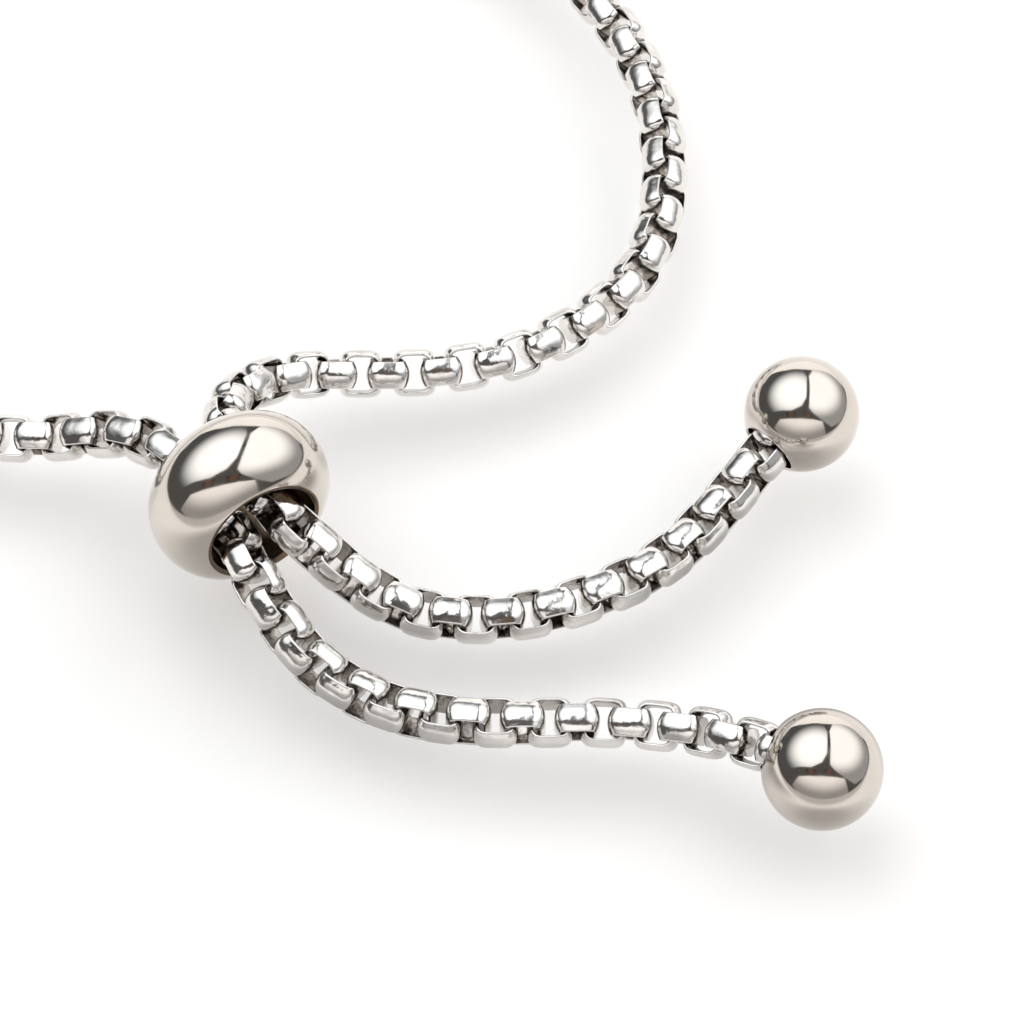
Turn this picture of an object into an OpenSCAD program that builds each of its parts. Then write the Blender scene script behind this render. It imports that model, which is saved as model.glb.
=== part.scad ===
// Bolo slider bracelet: one round box chain, a bead that both strands pass through, and two end balls.
// It lies flat, +Z up, with the origin on the surface under the middle of its bounding box.

/* [Chain link] */
// Length of one link along the chain
link_l = 2.25; // [2.2:0.05:2.5]
// Width of one link across its crowned sides, which is the chain's thickness
link_w = 2.5; // [2.4:0.05:2.55]
// Width of the strip that a link is bent from
strip_w = 1.3; // [1:0.05:1.3]
// Thickness of the strip
strip_t = 0.26; // [0.22:0.02:0.3]
// Outer radius of the four bends of a link
bend_r = 0.65; // [0.5:0.05:0.8]

/* [Chain spacing] */
// Free play between two links in the loose end from the upper ball through the bead
upper_play = 0.42; // [0.38:0.01:0.44]
// Free play between two links in the loose end from the lower ball through the bead
lower_play = 0.39; // [0.34:0.01:0.44]
// Free play between two links round the taut loop
loop_play = 0.33; // [0.24:0.01:0.39]
// Length of the loose end at the upper ball
upper_loose_l = 47.2; // [40:0.1:50]
// Length of the loose end at the lower ball
lower_loose_l = 46.9; // [40:0.1:50]

/* [End balls] */
// Diameter of each ball
ball_d = 6; // [5.6:0.1:7]
// Free space all round the link that a ball holds
hole_play = 0.17; // [0.12:0.01:0.2]
// Width of the flat rim round a ball's hole
mouth_rim = 0.2; // [0.1:0.05:0.4]
// Distance of the first link's centre from the upper ball's centre
upper_inset = 0.45; // [0.4:0.05:0.8]
// Distance of the last link's centre from the lower ball's centre
lower_inset = 0.9; // [0.6:0.05:1]

/* [Slider bead] */
// Outer diameter of the bead
bead_d = 9.6; // [9.2:0.1:11]
// Radius of the bead's rounded side, seen in section
side_r = 2.9; // [2.85:0.05:3.4]
// Radius of the soft edge at both mouths of the bore
lip_r = 0.2; // [0.1:0.05:0.3]
// What the bore is wider than two strands side by side
bore_play = 0.7; // [0.6:0.05:0.8]

/* [Hidden] */

steel = [0.78, 0.77, 0.75];
bright_steel = [0.84, 0.83, 0.81];

// Height of the chain's middle where it lies on the surface
lie = link_w / 2;

// Middle of each ball, on the surface
ball_upper_at = [30.3, -11.04, ball_d / 2];
ball_lower_at = [30.5, -33.05, ball_d / 2];
ball_r = ball_d / 2;
hole_r = link_w / 2 + hole_play;
mouth_r = hole_r + mouth_rim;
mouth_z = sqrt(ball_r * ball_r - mouth_r * mouth_r);

// Middle of the bead, and the way its bore faces in plan
bead_at = [1.68, -17.65, bead_d / 2];
bead_turn = -60;
bore_z = bead_at.z;
bore_r = (2 * link_w + bore_play) / 2;
// Middle of the bead's side circle in section, and of the soft edge that ends it
side_x = bead_d / 2 - side_r;
lip_x = bore_r + lip_r;
lip_y = sqrt(pow(side_r - lip_r, 2) - pow(lip_x - side_x, 2));

// The chain's route from ball to ball, chosen by hand: x, y, height of its middle, roll of its even links
route = [
    [ball_upper_at.x, ball_upper_at.y, ball_r, 108],
    [28.6, -12.8, 2.4, 108],
    [27.1, -14.6, 1.8, 106],
    [25.5, -16.6, 1.4, 100],
    [23.6, -18.7, lie, 92],
    [21.4, -20.4, lie, 82],
    [18.8, -21.7, lie, 76],
    [16.3, -22.5, lie, 74],
    [13.5, -22.8, lie, 74],
    [10.5, -22.4, 1.4, 80],
    [8.1, -21.5, 2.2, 92],
    [6.0, -20.4, 3.5, 102],
    [4.0, -19.05, bore_z, 108],
    [2.3, -16.8, bore_z + 0.8, 114],
    [1.1, -14.2, bore_z + 0.5, 122],
    [0.9, -12.2, 4.6, 126],
    [1.5, -10.3, 3.7, 130],
    [2.9, -8.6, 2.7, 132],
    [5.0, -7.55, 1.9, 134],
    [8.0, -7.1, 1.4, 135],
    [11.6, -6.8, lie, 133],
    [15.0, -6.0, lie, 132],
    [17.7, -4.6, lie, 128],
    [20.1, -2.7, lie, 126],
    [22.1, 0.0, lie, 126],
    [23.2, 3.1, lie, 128],
    [23.6, 6.4, lie, 135],
    [23.5, 9.8, lie, 142],
    [22.9, 13.1, lie, 144],
    [21.4, 17.1, lie, 144],
    [18.0, 22.3, lie, 144],
    [11.4, 28.5, lie, 144],
    [2.4, 33.1, lie, 144],
    [-7.6, 34.7, lie, 144],
    [-17.4, 32.5, lie, 120],
    [-25.8, 26.9, lie, 120],
    [-31.2, 18.3, lie, 120],
    [-32.0, 8.3, lie, 120],
    [-28.0, -0.7, lie, 120],
    [-20.6, -7.7, lie, 120],
    [-12.6, -10.8, lie, 120],
    [-9.4, -11.4, 1.4, 118],
    [-7.0, -11.8, 2.1, 116],
    [-4.7, -12.5, 3.1, 112],
    [-2.6, -13.8, 3.8, 108],
    [-1.0, -15.5, bore_z - 0.8, 104],
    [0.3, -17.9, bore_z - 0.6, 110],
    [1.7, -20.25, bore_z - 0.7, 122],
    [2.7, -22.1, 3.5, 131],
    [3.9, -23.9, 2.7, 142],
    [5.4, -25.7, 1.9, 150],
    [7.5, -27.2, 1.4, 157],
    [9.8, -28.3, lie, 165],
    [12.3, -28.9, lie, 174],
    [14.8, -29.1, lie, 183],
    [17.3, -29.1, lie, 193],
    [19.8, -29.1, lie, 203],
    [22.6, -29.4, 1.4, 211],
    [25.2, -30.3, 2.1, 216],
    [27.2, -31.4, 2.8, 219],
    [28.8, -32.2, 3.0, 220],
    [ball_lower_at.x, ball_lower_at.y, ball_r, 220]
];

// Smooth curve through the route, never lower than the lying chain
curve_steps = 12;
function blend(a, b, c, d, t) =
    0.5 * (2 * b + (c - a) * t + (2 * a - 5 * b + 4 * c - d) * t * t + (3 * b - a - 3 * c + d) * t * t * t);
function raised(p) = [p.x, p.y, max(p.z, lie), p[3]];
row_last = len(route) - 1;
function row(i) =
    i < 0 ? 2 * route[0] - route[1] :
    i > row_last ? 2 * route[row_last] - route[row_last - 1] :
    route[i];
curve = [
    for (i = [0 : row_last - 1], k = [0 : curve_steps - 1])
        raised(blend(row(i - 1), row(i), row(i + 1), row(i + 2), k / curve_steps)),
    raised(route[row_last])
];

// Length along the curve, and the place and the roll at each length
function place(p) = [p.x, p.y, p.z];
function gap_before(i) = norm(place(curve[i]) - place(curve[i - 1]));
curve_last = len(curve) - 1;
curve_at = [
    for (i = 0, s = 0; i <= curve_last; i = i + 1, s = s + (i > curve_last ? 0 : gap_before(i)))
        s
];
route_l = curve_at[curve_last];
tables = [for (column = [0 : 3]) [for (i = [0 : curve_last]) [curve_at[i], curve[i][column]]]];
function spot(s) = [for (column = [0 : 2]) lookup(s, tables[column])];
function roll(s) = lookup(s, tables[3]);
function unit(v) = v / norm(v);
// Half of the length over which the chain's direction is taken
direction_reach = 0.6;
function along(s) = unit(spot(s + direction_reach) - spot(s - direction_reach));

// Spacing of the links: close in the two loose ends and even round the taut loop
function step_of(play) = link_l - 2 * strip_t - play;
upper_step = step_of(upper_play);
lower_step = step_of(lower_play);
upper_n = round(upper_loose_l / upper_step);
lower_n = round(lower_loose_l / lower_step);
chain_l = route_l - upper_inset - lower_inset;
loop_l = chain_l - upper_n * upper_step - lower_n * lower_step;
// An even number, so that the links of both loose ends keep their roll
loop_n = 2 * round(loop_l / step_of(loop_play) / 2);
loop_step = loop_l / loop_n;
link_last = upper_n + loop_n + lower_n;
link_half = floor(link_last / 2);
function link_at(i) = upper_inset + (
    i <= upper_n ? i * upper_step :
    i <= upper_n + loop_n ? upper_n * upper_step + (i - upper_n) * loop_step :
    chain_l - (link_last - i) * lower_step
);

// Puts a piece on the chain's middle with its X along the chain and its Y turned by the roll
module on_chain(s, turn) {
    x = along(s);
    up = unit([0, 0, 1] - x * x.z);
    side = cross(x, up);
    y = up * cos(turn) + side * sin(turn);
    z = cross(x, y);
    p = spot(s);
    multmatrix([
        [x.x, y.x, z.x, p.x],
        [x.y, y.y, z.y, p.y],
        [x.z, y.z, z.z, p.z],
        [0, 0, 0, 1]
    ]) children();
}

module rounded_rect(l, w, r) {
    square([l - 2 * r, w], center = true);
    square([l, w - 2 * r], center = true);
    for (x = [-1, 1], y = [-1, 1])
        translate([x * (l / 2 - r), y * (w / 2 - r)])
            circle(r = r, $fn = 32);
}

// One link: a strip bent round into a box ring, crowned across its width and at its ends
module link() {
    intersection() {
        translate([0, 0, -strip_w / 2])
            linear_extrude(strip_w)
                difference() {
                    rounded_rect(link_l, link_w, bend_r);
                    rounded_rect(link_l - 2 * strip_t, link_w - 2 * strip_t, bend_r - strip_t);
                }
        rotate([0, 90, 0]) cylinder(r = link_w / 2, h = 2 * link_l, center = true, $fn = 64);
        rotate([90, 0, 0]) cylinder(r = link_l / 2, h = 2 * link_w, center = true, $fn = 64);
    }
}

// Links from one number to another, each turned a quarter to its neighbours
module chain(first, last) {
    for (i = [first : last])
        on_chain(link_at(i), roll(link_at(i)) + (i % 2 == 0 ? 0 : 90))
            link();
}

module chain_right() {
    color(steel) chain(0, link_half);
}

module chain_left() {
    color(steel) chain(link_half + 1, link_last);
}

// Section of the bead beside its bore: a round side that ends in two soft edges
module bead_section() {
    reach = bead_d;
    reach_y = lip_y * (reach - side_x) / (lip_x - side_x);
    intersection() {
        translate([side_x, 0]) circle(r = side_r, $fn = 96);
        polygon([[lip_x, -lip_y], [reach, -reach_y], [reach, reach_y], [lip_x, lip_y]]);
    }
    translate([bore_r, -lip_y]) square([lip_r, 2 * lip_y]);
    for (end = [-1, 1])
        translate([lip_x, end * lip_y])
            circle(r = lip_r, $fn = 48);
}

module slider_bead() {
    color(bright_steel)
        translate(bead_at)
            rotate([0, 90, bead_turn])
                rotate_extrude($fn = 128) bead_section();
}

// A ball round the origin whose hole opens along +Z and holds a link that far from the middle
module ball(inset) {
    hole_floor_z = inset - link_l / 2 - hole_play;
    difference() {
        sphere(d = ball_d, $fn = 96);
        translate([0, 0, mouth_z]) cylinder(d = ball_d, h = ball_d);
        translate([0, 0, hole_floor_z]) cylinder(r = hole_r, h = ball_d, $fn = 64);
    }
}

// Turns a piece's +Z to the way in which the chain leaves a ball
module facing(v) {
    rotate([0, acos(v.z), atan2(v.y, v.x)]) children();
}

module ball_upper() {
    color(bright_steel)
        translate(ball_upper_at)
            facing(unit(spot(mouth_z) - ball_upper_at))
                ball(upper_inset);
}

module ball_lower() {
    color(bright_steel)
        translate(ball_lower_at)
            facing(unit(spot(route_l - mouth_z) - ball_lower_at))
                ball(lower_inset);
}

chain_right();
chain_left();
slider_bead();
ball_upper();
ball_lower();
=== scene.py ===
import math

import bmesh
import bpy
import numpy as np
from mathutils import Euler, Matrix, Vector


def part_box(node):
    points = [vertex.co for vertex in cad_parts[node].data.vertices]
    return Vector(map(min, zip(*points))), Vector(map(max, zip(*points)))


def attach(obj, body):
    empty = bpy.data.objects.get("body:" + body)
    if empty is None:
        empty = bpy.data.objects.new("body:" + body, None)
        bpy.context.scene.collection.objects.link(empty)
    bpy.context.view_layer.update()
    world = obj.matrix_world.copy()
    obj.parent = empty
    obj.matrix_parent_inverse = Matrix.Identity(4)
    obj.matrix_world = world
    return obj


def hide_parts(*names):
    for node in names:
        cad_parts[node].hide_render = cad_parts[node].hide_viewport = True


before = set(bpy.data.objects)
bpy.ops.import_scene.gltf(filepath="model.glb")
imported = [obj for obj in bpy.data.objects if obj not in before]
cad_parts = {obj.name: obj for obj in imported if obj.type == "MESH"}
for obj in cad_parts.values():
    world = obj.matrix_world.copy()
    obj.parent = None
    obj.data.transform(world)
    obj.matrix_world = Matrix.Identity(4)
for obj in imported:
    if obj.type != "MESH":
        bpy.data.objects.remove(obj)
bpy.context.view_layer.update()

MM = 0.001
BODY = "root"

# The photo's camera: its lens in pixels, its angle over the surface, its distance and its aim
PHOTO_SIDE_PX = 1024
CAMERA_FOCAL_PX = 4863
CAMERA_ELEVATION = math.radians(53)
CAMERA_DISTANCE = 250 * MM
CAMERA_TARGET = Vector((15.4 * MM, -15.1 * MM, 0))
SENSOR_WIDTH_MM = 36
CLIP_START = 0.01
CLIP_END = 20

# One link of the round box chain: a strip bent round an outline with soft corners
LINK_LENGTH = 2.3 * MM
LINK_WIDTH = 2.5 * MM
OUTER_SQUARENESS = 4.3
INNER_SQUARENESS = 5.0
STRIP_WIDTH = 1.42 * MM
STRIP_THICKNESS = 0.28 * MM
STRIP_EDGE = 0.07 * MM
# Share of the outer face's crown that the inner face follows
STRIP_HOLLOW = 0.25
# The most that a link leans about each axis, and that it is out of line along each
LINK_LEAN = math.radians(1.0)
LINK_SHIFT = 0.01 * MM
# Mesh steps round the outline, and across the strip's outer face, its edge and its inner face
LINK_STEPS_ROUND = 44
CROWN_STEPS = 9
EDGE_STEPS = 4
INSIDE_STEPS = 3

# Slider bead and balls
BEAD_SIDE_R = 2.9 * MM
BEAD_LIP_R = 0.2 * MM
BALL_LIP_R = 0.1 * MM
BALL_BEVEL = 0.05 * MM
# Angle short of the mouth's rim at which a ball's round side ends, in radians
BALL_RIM_CUT = 0.03
# What lies nearer to a ball's centre than this share of its radius belongs to its bore
BALL_INNER_SHARE = 0.97
TURN_STEPS = 160
ARC_STEPS = 64
LIP_STEPS = 8

# Vertices nearer than this are one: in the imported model's meshes, and at the tips of turned solids
CAD_WELD = 0.002 * MM
TIP_WELD = 0.0001 * MM

# Polish: the scales of its patterns in repeats per metre, and the stretch of each noise, which runs
# from 0 to 1, over which one look fades to the other
TONE_SCALE = 420
TONE_FADE = (0.35, 0.65)
RUBBED_SCALE = 900
RUBBED_FADE = (0.4, 0.7)
SCRATCH_SCALE = 1400
SCRATCH_STRETCH = (1.0, 1.0, 9.0)
SCRATCH_TURN = (0.5, 0.9, 0.3)

# Floor: its radius in metres, its own colour, the colours that the metal mirrors in the middle and in
# front, and between which places along Y these two blend. Those mirrored colours are painted: a painted
# reflection brighter than the floor, and painted shade in front
FLOOR_RADIUS = 3.0
FLOOR_STEPS = 96
FLOOR_DROP = 3.0 * MM
FLOOR_WHITE = (0.965, 0.935, 0.915)
FLOOR_PAINTED_IN_METAL = (1.08, 1.04, 1.01)
FLOOR_EDGE_PAINTED_SHADE = (0.66, 0.63, 0.605)
FLOOR_FRONT = (-75 * MM, -50 * MM)
# Painted shade that the metal mirrors before the bead and each ball: the share of the colour left in its
# middle, then where it starts and stops to fade and how far forward it lies, in radii of the piece
UNDER_PAINTED_SHADE = 0.48
UNDER_REACH = (0.8, 5.0)
UNDER_FORWARD = 3.6

# Studio: how far off the panels and the rising paper stand, in metres, and the room's light
PANEL_RADIUS = 0.8
SWEEP_RADIUS = 1.4
SWEEP_STEPS = 48
SWEEP_ELEVATION = math.radians(30)
SWEEP_HALF_WIDTH = math.radians(50)
SWEEP_MIDDLE = math.radians(5)
ROOM_LIGHT = (0.115, 0.112, 0.11)
ROOM_SEEN = (1.0, 1.0, 1.0)


def camera():
    """The camera at the photo's angle, aimed at the middle of what the photo shows."""
    data = bpy.data.cameras.new("camera")
    data.sensor_width = SENSOR_WIDTH_MM
    data.lens = CAMERA_FOCAL_PX / PHOTO_SIDE_PX * SENSOR_WIDTH_MM
    data.clip_start = CLIP_START
    data.clip_end = CLIP_END
    obj = bpy.data.objects.new("camera", data)
    back = Vector((0, -math.cos(CAMERA_ELEVATION), math.sin(CAMERA_ELEVATION)))
    obj.location = CAMERA_TARGET + CAMERA_DISTANCE * back
    obj.rotation_euler = (math.pi / 2 - CAMERA_ELEVATION, 0, 0)
    bpy.context.scene.collection.objects.link(obj)
    bpy.context.scene.camera = obj


class Nodes:
    """Short calls for building one shader's node tree."""

    def __init__(self, tree):
        self.tree = tree
        tree.nodes.clear()

    def add(self, kind, **settings):
        node = self.tree.nodes.new(kind)
        for name, value in settings.items():
            setattr(node, name, value)
        return node

    def join(self, source, target):
        self.tree.links.new(source, target)

    def noise(self, vector, scale, detail, roughness=0.5):
        node = self.add("ShaderNodeTexNoise")
        self.join(vector, node.inputs["Vector"])
        node.inputs["Scale"].default_value = scale
        node.inputs["Detail"].default_value = detail
        node.inputs["Roughness"].default_value = roughness
        return node.outputs["Fac"]

    def bump(self, height, distance):
        node = self.add("ShaderNodeBump")
        self.join(height, node.inputs["Height"])
        node.inputs["Distance"].default_value = distance
        return node

    def remap(self, value, low, high, to_low, to_high, smooth=False):
        node = self.add("ShaderNodeMapRange", interpolation_type="SMOOTHSTEP" if smooth else "LINEAR")
        self.join(value, node.inputs["Value"])
        node.inputs["From Min"].default_value = low
        node.inputs["From Max"].default_value = high
        node.inputs["To Min"].default_value = to_low
        node.inputs["To Max"].default_value = to_high
        return node.outputs["Result"]

    def mix_colour(self, factor, first, second):
        node = self.add("ShaderNodeMix", data_type="RGBA")
        self.join(factor, node.inputs["Factor"])
        node.inputs["A"].default_value = (*first, 1)
        node.inputs["B"].default_value = (*second, 1)
        return node.outputs["Result"]

    def finish(self, kind, surface):
        out = self.add(kind)
        self.join(surface, out.inputs["Surface"])


def new_material(name):
    material = bpy.data.materials.new(name)
    material.use_nodes = True
    return material, Nodes(material.node_tree)


def polished_steel(name, bright, dull, gloss, satin, dents, scratch_depth):
    """Polished steel with a faint change of tone, rubbed patches, soft dents and fine scratches.

    gloss and satin are the roughness of the clean and the rubbed places. dents holds a pair of
    (repeats per metre, depth) for each field of dents.
    """
    material, nodes = new_material(name)
    place = nodes.add("ShaderNodeTexCoord").outputs["Object"]
    steel = nodes.add("ShaderNodeBsdfPrincipled")
    steel.inputs["Metallic"].default_value = 1.0
    tone = nodes.remap(nodes.noise(place, TONE_SCALE, detail=3), *TONE_FADE, 0, 1)
    nodes.join(nodes.mix_colour(tone, dull, bright), steel.inputs["Base Color"])
    rubbed = nodes.noise(place, RUBBED_SCALE, detail=4, roughness=0.6)
    nodes.join(nodes.remap(rubbed, *RUBBED_FADE, gloss, satin), steel.inputs["Roughness"])

    stretched = nodes.add("ShaderNodeMapping")
    nodes.join(place, stretched.inputs["Vector"])
    stretched.inputs["Scale"].default_value = SCRATCH_STRETCH
    stretched.inputs["Rotation"].default_value = SCRATCH_TURN
    scratches = nodes.noise(stretched.outputs["Vector"], SCRATCH_SCALE, detail=3)
    normal = nodes.bump(scratches, scratch_depth).outputs["Normal"]
    for dent_scale, dent_depth in dents:
        dent = nodes.bump(nodes.noise(place, dent_scale, detail=1.5), dent_depth)
        nodes.join(normal, dent.inputs["Normal"])
        normal = dent.outputs["Normal"]
    nodes.join(normal, steel.inputs["Normal"])
    nodes.finish("ShaderNodeOutputMaterial", steel.outputs["BSDF"])
    return material


def mesh_object(name, vertices, faces, materials, face_materials=None):
    """Smooth-shaded mesh object, with face_materials giving each face's place in materials."""
    mesh = bpy.data.meshes.new(name)
    mesh.from_pydata(vertices, [], faces)
    for material in materials:
        mesh.materials.append(material)
    if face_materials is not None:
        mesh.polygons.foreach_set("material_index", face_materials)
    mesh.polygons.foreach_set("use_smooth", [True] * len(mesh.polygons))
    mesh.validate()
    obj = bpy.data.objects.new(name, mesh)
    bpy.context.scene.collection.objects.link(obj)
    return obj


def dress(obj, node):
    """Let a piece ride on the one body in the place of a CAD node."""
    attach(obj, BODY)
    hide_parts(node)


def grid_faces(rows, columns, close_rows, close_columns):
    """Quads of a grid of vertices, rows by columns, closed on itself where asked."""
    faces = []
    for i in range(rows if close_rows else rows - 1):
        for j in range(columns if close_columns else columns - 1):
            k, m = (i + 1) % rows, (j + 1) % columns
            faces.append((i * columns + j, i * columns + m, k * columns + m, k * columns + j))
    return faces


def strip_section():
    """Closed section of the strip as (offset across the width, depth below the link's outline)."""
    half = STRIP_WIDTH / 2
    radius = (LINK_LENGTH + LINK_WIDTH) / 4

    def crown(z):
        return radius - math.sqrt(radius * radius - z * z)

    def inside(z):
        return STRIP_THICKNESS + STRIP_HOLLOW * crown(z)

    flat = half - STRIP_EDGE
    outer = [(z, crown(z)) for z in np.linspace(-flat, flat, CROWN_STEPS)]
    inner = [(z, inside(z)) for z in np.linspace(flat, -flat, INSIDE_STEPS)]
    top, bottom = crown(flat), inside(flat)
    middle, reach = (top + bottom) / 2, (bottom - top) / 2
    turns = [math.pi * (k + 1) / (EDGE_STEPS + 1) for k in range(EDGE_STEPS)]
    edge = [(flat + STRIP_EDGE * math.sin(a), middle - reach * math.cos(a)) for a in turns]
    return outer + edge + inner + [(-z, depth) for z, depth in reversed(edge)]


def link_shape(section):
    """Vertices and faces of one link round the origin: X along the chain, Z across the strip."""
    vertices = []
    for i in range(LINK_STEPS_ROUND):
        angle = 2 * math.pi * (i + 0.5) / LINK_STEPS_ROUND
        for z, depth in section:
            share = min(max(depth / STRIP_THICKNESS, 0), 1)
            n = OUTER_SQUARENESS + (INNER_SQUARENESS - OUTER_SQUARENESS) * share
            a, b = LINK_LENGTH / 2 - depth, LINK_WIDTH / 2 - depth
            reach = (abs(math.cos(angle) / a) ** n + abs(math.sin(angle) / b) ** n) ** (-1 / n)
            vertices.append((reach * math.cos(angle), reach * math.sin(angle), z))
    return np.array(vertices), grid_faces(LINK_STEPS_ROUND, len(section), True, True)


def loose_parts(node):
    """Arrays of the vertices of each loose part of a CAD node, from left to right."""
    copy = bmesh.new()
    copy.from_mesh(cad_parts[node].data)
    bmesh.ops.remove_doubles(copy, verts=copy.verts, dist=CAD_WELD)
    seen = set()
    parts = []
    for first in copy.verts:
        if first in seen:
            continue
        seen.add(first)
        stack = [first]
        part = []
        while stack:
            vertex = stack.pop()
            part.append(tuple(vertex.co))
            for edge in vertex.link_edges:
                other = edge.other_vert(vertex)
                if other not in seen:
                    seen.add(other)
                    stack.append(other)
        parts.append(np.array(sorted(part)))
    copy.free()
    return sorted(parts, key=lambda part: tuple(part.min(0) + part.max(0)))


def link_pose(part):
    """Centre and axes of a link: X along the chain, Y across its outline, Z across its strip."""
    centre = (part.min(0) + part.max(0)) / 2
    # The second pass finds the axes about the centre that the first has corrected
    for _ in range(2):
        axes = np.linalg.eigh(np.cov((part - centre).T))[1]
        spans = (part - centre) @ axes
        centre = centre + axes @ ((spans.min(0) + spans.max(0)) / 2)
    size = np.ptp((part - centre) @ axes, axis=0)
    order = np.argsort(size)
    z, x = axes[:, order[0]], axes[:, order[1]]
    return centre, np.column_stack([x, np.cross(z, x), z])


def chain(node, outside, inside, seed):
    """All links of one half of the chain, each a little out of line, with a rougher inner side darkened by
    painted shade.
    """
    section = strip_section()
    shape, shape_faces = link_shape(section)
    inner_first = CROWN_STEPS + EDGE_STEPS - 1
    inner_last = inner_first + INSIDE_STEPS
    # Faces on the strip's inner side, which take the darker material with its painted shade
    dull = [int(inner_first <= face[0] % len(section) <= inner_last) for face in shape_faces]
    draw = np.random.default_rng(seed)
    vertices, faces, face_materials = [], [], []
    for part in loose_parts(node):
        centre, axes = link_pose(part)
        lean = Euler(draw.uniform(-LINK_LEAN, LINK_LEAN, 3)).to_matrix()
        centre = centre + draw.uniform(-LINK_SHIFT, LINK_SHIFT, 3)
        start = len(vertices)
        vertices.extend((shape @ np.array(lean).T @ axes.T + centre).tolist())
        faces.extend(tuple(start + k for k in face) for face in shape_faces)
        face_materials.extend(dull)
    obj = mesh_object(node + "_links", vertices, faces, [outside, inside], face_materials)
    dress(obj, node)


def turned(name, profile, wall_from, centre, axis, materials):
    """Solid turned round an axis from an open or closed profile of (radius, height) points.

    Faces from the profile's point wall_from on take the second material.
    """
    closed = profile[0][0] > 0
    vertices = []
    for radius, height in profile:
        for k in range(TURN_STEPS):
            angle = 2 * math.pi * k / TURN_STEPS
            vertices.append((radius * math.cos(angle), radius * math.sin(angle), height))
    faces = grid_faces(len(profile), TURN_STEPS, closed, True)
    walls = [int(wall_from <= face[0] // TURN_STEPS) for face in faces]
    obj = mesh_object(name, vertices, faces, materials, walls)
    turn = Vector((0, 0, 1)).rotation_difference(Vector(axis)).to_matrix().to_4x4()
    obj.data.transform(Matrix.Translation(Vector(centre)) @ turn)
    tidy = bmesh.new()
    tidy.from_mesh(obj.data)
    bmesh.ops.remove_doubles(tidy, verts=tidy.verts, dist=TIP_WELD)
    bmesh.ops.recalc_face_normals(tidy, faces=tidy.faces)
    tidy.to_mesh(obj.data)
    tidy.free()
    return obj


def arc(centre, radius, start, end, steps):
    """Points of an arc as (radius from the axis, height), angles in radians from the outward direction."""
    return [
        (centre[0] + radius * math.cos(a), centre[1] + radius * math.sin(a))
        for a in np.linspace(start, end, steps)
    ]


def cad_points(node, centre):
    """A CAD node's vertices, measured from a centre."""
    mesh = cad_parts[node].data
    return np.array([v.co for v in mesh.vertices], float).reshape(-1, 3) - np.array(centre)


def bead(material, bore_material):
    """The slider bead: a round side that ends in two soft lips round a straight bore."""
    low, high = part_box("slider_bead")
    centre = (low + high) / 2
    points = cad_points("slider_bead", centre)
    axis = np.linalg.eigh(np.cov(points.T))[1][:, 0]
    across = np.linalg.norm(points - np.outer(points @ axis, axis), axis=1)
    outer_r, bore_r = across.max(), across.min()
    side_x = outer_r - BEAD_SIDE_R
    lip_x = bore_r + BEAD_LIP_R
    lip_y = math.sqrt((BEAD_SIDE_R - BEAD_LIP_R) ** 2 - (lip_x - side_x) ** 2)
    edge = math.atan2(lip_y, lip_x - side_x)
    profile = arc((side_x, 0), BEAD_SIDE_R, -edge, edge, ARC_STEPS)
    profile += arc((lip_x, lip_y), BEAD_LIP_R, edge, math.pi, LIP_STEPS)[1:]
    wall_from = len(profile) - 1
    profile += arc((lip_x, -lip_y), BEAD_LIP_R, -math.pi, -edge, LIP_STEPS)[:-1]
    obj = turned("slider_bead_polished", profile, wall_from, centre, axis, [material, bore_material])
    dress(obj, "slider_bead")


def ball(node, material, bore_material):
    """An end ball with a flat mouth, a soft lip and a blind bore for the chain's end."""
    low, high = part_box(node)
    ball_r = (high.z - low.z) / 2
    centre = Vector((high.x - ball_r, (low.y + high.y) / 2, low.z + ball_r))
    points = cad_points(node, centre)
    inside = points[np.linalg.norm(points, axis=1) < BALL_INNER_SHARE * ball_r]
    axis = inside.mean(0) / np.linalg.norm(inside.mean(0))
    height = inside @ axis
    bore_r = np.linalg.norm(inside - np.outer(height, axis), axis=1).max()
    mouth, bottom = (points @ axis).max(), height.min()
    mouth_r = math.sqrt(ball_r * ball_r - mouth * mouth)
    rim = math.atan2(mouth, mouth_r)
    lip = (bore_r + BALL_LIP_R, mouth - BALL_LIP_R)
    profile = arc((0, 0), ball_r, -math.pi / 2, rim - BALL_RIM_CUT, ARC_STEPS)
    profile += [(mouth_r - BALL_BEVEL, mouth), (lip[0], mouth)]
    profile += arc(lip, BALL_LIP_R, math.pi / 2, math.pi, LIP_STEPS)[1:]
    wall_from = len(profile) - 1
    profile += [(bore_r, bottom + BALL_BEVEL), (bore_r - BALL_BEVEL, bottom), (0, bottom)]
    obj = turned(node + "_polished", profile, wall_from, centre, axis, [material, bore_material])
    dress(obj, node)


def glow(name, core, strengths, colour, spread):
    """Emission that is strongest towards one direction seen from the bracelet.

    It rises from the first to the second of strengths while the cosine to that direction rises
    from the first to the second of spread.
    """
    material, nodes = new_material(name)
    unit = nodes.add("ShaderNodeVectorMath", operation="NORMALIZE")
    nodes.join(nodes.add("ShaderNodeTexCoord").outputs["Object"], unit.inputs[0])
    toward = nodes.add("ShaderNodeVectorMath", operation="DOT_PRODUCT")
    nodes.join(unit.outputs["Vector"], toward.inputs[0])
    toward.inputs[1].default_value = Vector(core).normalized()
    strength = nodes.remap(toward.outputs["Value"], *spread, *strengths, smooth=True)
    light = nodes.add("ShaderNodeEmission")
    light.inputs["Color"].default_value = (*colour, 1)
    nodes.join(strength, light.inputs["Strength"])
    nodes.finish("ShaderNodeOutputMaterial", light.outputs["Emission"])
    return material


def mirrored(x, y):
    """Direction that a ball shows at a place on its face: x right and y up from its middle, in radii."""
    facing = math.sqrt(1 - x * x - y * y)
    sine, cosine = math.sin(CAMERA_ELEVATION), math.cos(CAMERA_ELEVATION)
    normal = Vector((x, y * sine - facing * cosine, y * cosine + facing * sine))
    return Vector((0, cosine, -sine)) + 2 * facing * normal


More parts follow.
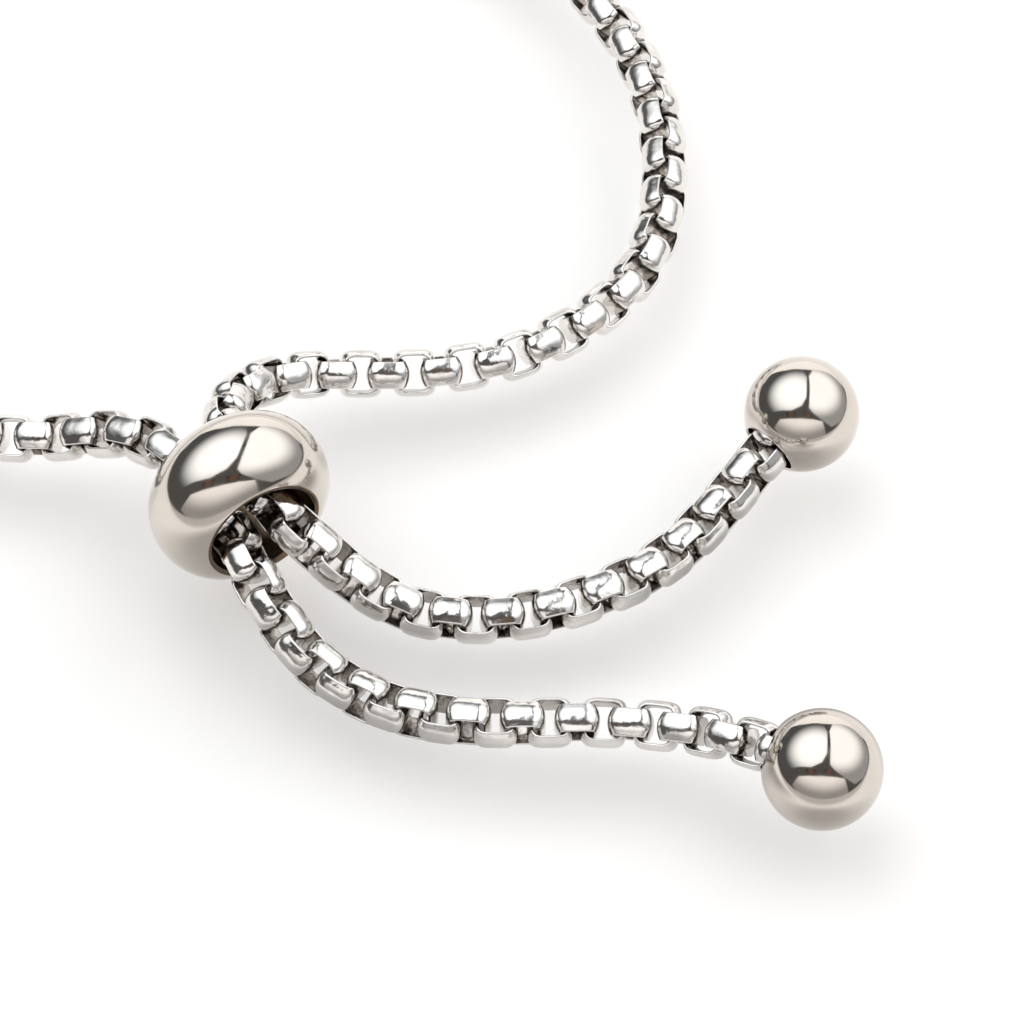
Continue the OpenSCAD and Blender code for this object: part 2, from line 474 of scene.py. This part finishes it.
def panel(name, corners, material):
    """A studio panel whose corners are mirrored at the given places, all at one distance."""
    points = [mirrored(*corner).normalized() * PANEL_RADIUS for corner in corners]
    obj = mesh_object(name, points, [tuple(range(len(points)))], [material])
    obj.location = CAMERA_TARGET
    obj.visible_camera = False


def studio():
    """Softboxes and cards, each outlined where the end balls mirror it in the photo."""
    panel(
        "left_softbox",
        [
            (-0.02, 0.13), (0.06, 0.27), (0.085, 0.62), (0.02, 0.75), (-0.25, 0.75), (-0.50, 0.70),
            (-0.63, 0.55), (-0.67, 0.27), (-0.62, -0.02), (-0.39, 0.054), (-0.19, 0.054),
        ],
        glow("left_glow", mirrored(-0.16, 0.36), (0.12, 2.05), (0.94, 0.985, 1.01), (0.58, 0.97)),
    )
    panel(
        "right_softbox",
        [
            (0.115, 0.27), (0.105, 0.10), (0.16, 0.02), (0.22, -0.03), (0.35, -0.13),
            (0.49, -0.22), (0.63, -0.13), (0.71, 0.04), (0.73, 0.27), (0.66, 0.47),
            (0.49, 0.65), (0.26, 0.73), (0.20, 0.73), (0.125, 0.62),
        ],
        glow("right_glow", mirrored(0.22, 0.41), (0.5, 1.84), (0.96, 0.985, 1.0), (0.55, 0.88)),
    )
    panel(
        "front_card",
        [
            (-0.49, -0.25), (-0.39, -0.10), (-0.23, -0.088), (-0.02, -0.088), (0.16, -0.10),
            (0.33, -0.13), (0.40, -0.38), (0, -0.455), (-0.3, -0.42),
        ],
        glow("card_glow", (0, 0, 1), (0.45, 1.45), (1.0, 0.98, 0.97), (0.1, 0.6)),
    )
    warm = (1.0, 0.62, 0.48)
    for side, x in (("left", -0.2), ("right", 0.09)):
        panel(
            side + "_warm_patch",
            [(x - 0.08, 0.02), (x + 0.08, 0.02), (x + 0.06, -0.06), (x - 0.06, -0.06)],
            glow(side + "_warm_glow", mirrored(x, -0.02), (0.0, 0.18), warm, (0.985, 1.0)),
        )


def floor_material():
    """White paper whose colour in the metal is painted: a painted reflection brighter than the paper, with
    painted shade towards the front and before the bead and the balls.
    """
    material, nodes = new_material("floor_white")
    flat = nodes.add("ShaderNodeVectorMath", operation="MULTIPLY")
    nodes.join(nodes.add("ShaderNodeTexCoord").outputs["Object"], flat.inputs[0])
    flat.inputs[1].default_value = (1, 1, 0)
    ground = flat.outputs["Vector"]
    place = nodes.add("ShaderNodeSeparateXYZ")
    nodes.join(ground, place.inputs["Vector"])
    # Painted shade in the floor that the metal mirrors, growing towards the front
    in_front = nodes.remap(place.outputs["Y"], *FLOOR_FRONT, 1, 0, smooth=True)
    painted_in_metal = nodes.mix_colour(in_front, FLOOR_PAINTED_IN_METAL, FLOOR_EDGE_PAINTED_SHADE)
    # Painted shade in the floor that the metal mirrors, before the bead and each ball
    for node in ("slider_bead", "ball_upper", "ball_lower"):
        low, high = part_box(node)
        radius = (high.z - low.z) / 2
        front_y = (low.y + high.y) / 2 - UNDER_FORWARD * radius
        away = nodes.add("ShaderNodeVectorMath", operation="DISTANCE")
        nodes.join(ground, away.inputs[0])
        away.inputs[1].default_value = ((low.x + high.x) / 2, front_y, 0)
        near, far = UNDER_REACH[0] * radius, UNDER_REACH[1] * radius
        light = nodes.remap(away.outputs["Value"], near, far, UNDER_PAINTED_SHADE, 1, smooth=True)
        shade = nodes.add("ShaderNodeVectorMath", operation="SCALE")
        nodes.join(painted_in_metal, shade.inputs["Vector"])
        nodes.join(light, shade.inputs["Scale"])
        painted_in_metal = shade.outputs["Vector"]
    # Rays that the metal reflects see the painted colours; all other rays see the plain white paper
    colour = nodes.add("ShaderNodeMix", data_type="RGBA")
    nodes.join(nodes.add("ShaderNodeLightPath").outputs["Is Glossy Ray"], colour.inputs["Factor"])
    colour.inputs["A"].default_value = (*FLOOR_WHITE, 1)
    nodes.join(painted_in_metal, colour.inputs["B"])
    paint = nodes.add("ShaderNodeBsdfDiffuse")
    nodes.join(colour.outputs["Result"], paint.inputs["Color"])
    nodes.finish("ShaderNodeOutputMaterial", paint.outputs["BSDF"])
    return material


def floor():
    """A round sheet of white paper, a little below the bracelet."""
    turns = [2 * math.pi * k / FLOOR_STEPS for k in range(FLOOR_STEPS)]
    rim = [(FLOOR_RADIUS * math.cos(a), FLOOR_RADIUS * math.sin(a), -FLOOR_DROP) for a in turns]
    obj = mesh_object("floor", rim, [tuple(range(FLOOR_STEPS))], [floor_material()])


def surroundings():
    """White paper that rises behind the table, and a dark room above it."""
    vertices = []
    for top in (0, 1):
        for k in range(SWEEP_STEPS):
            turn = SWEEP_HALF_WIDTH * (2 * k / (SWEEP_STEPS - 1) - 1)
            rise = math.tan(SWEEP_ELEVATION * math.cos(turn / SWEEP_HALF_WIDTH * math.pi / 2))
            azimuth = turn + SWEEP_MIDDLE
            x, y = SWEEP_RADIUS * math.sin(azimuth), SWEEP_RADIUS * math.cos(azimuth)
            vertices.append((x, y, top * rise * SWEEP_RADIUS - FLOOR_DROP))
    paper = glow("sweep_glow", (0, 1, 0.2), (1.05, 1.55), (1.0, 0.985, 0.97), (0.5, 1.0))
    sweep = mesh_object("sweep", vertices, grid_faces(2, SWEEP_STEPS, False, False), [paper])
    sweep.visible_camera = False

    world = bpy.data.worlds.new("room")
    bpy.context.scene.world = world
    world.use_nodes = True
    nodes = Nodes(world.node_tree)
    seen = nodes.add("ShaderNodeLightPath").outputs["Is Camera Ray"]
    back = nodes.add("ShaderNodeBackground")
    nodes.join(nodes.mix_colour(seen, ROOM_LIGHT, ROOM_SEEN), back.inputs["Color"])
    nodes.finish("ShaderNodeOutputWorld", back.outputs["Background"])


camera()
bpy.context.scene.view_settings.view_transform = "Standard"

chain_metal = polished_steel(
    "chain_polished",
    bright=(0.75, 0.725, 0.70),
    dull=(0.635, 0.61, 0.585),
    gloss=0.10,
    satin=0.22,
    dents=[(4500, 0.008 * MM), (1500, 0.034 * MM)],
    scratch_depth=0.0006 * MM,
)
# The links' inner side: a little rougher, and much darker steel that paints shade into the links' insides
chain_inside_painted_shade = polished_steel(
    "chain_inside_painted_shade",
    bright=(0.56, 0.52, 0.49),
    dull=(0.24, 0.21, 0.19),
    gloss=0.12,
    satin=0.24,
    dents=[(4500, 0.012 * MM), (2000, 0.06 * MM)],
    scratch_depth=0.001 * MM,
)
bead_metal = polished_steel(
    "bead_polished",
    bright=(0.61, 0.56, 0.512),
    dull=(0.575, 0.525, 0.477),
    gloss=0.07,
    satin=0.13,
    dents=[(160, 0.02 * MM)],
    scratch_depth=0.0001 * MM,
)
# Steel for the bores of the bead and the balls: its dark brownish colour paints shade into the bores
bore_painted_shade_metal = polished_steel(
    "bore_painted_shade",
    bright=(0.21, 0.145, 0.095),
    dull=(0.10, 0.08, 0.06),
    gloss=0.14,
    satin=0.26,
    dents=[(500, 0.02 * MM)],
    scratch_depth=0.002 * MM,
)

chain("chain_right", chain_metal, chain_inside_painted_shade, seed=3)
chain("chain_left", chain_metal, chain_inside_painted_shade, seed=4)
bead(bead_metal, bore_painted_shade_metal)
ball("ball_upper", bead_metal, bore_painted_shade_metal)
ball("ball_lower", bead_metal, bore_painted_shade_metal)

floor()
studio()
surroundings()
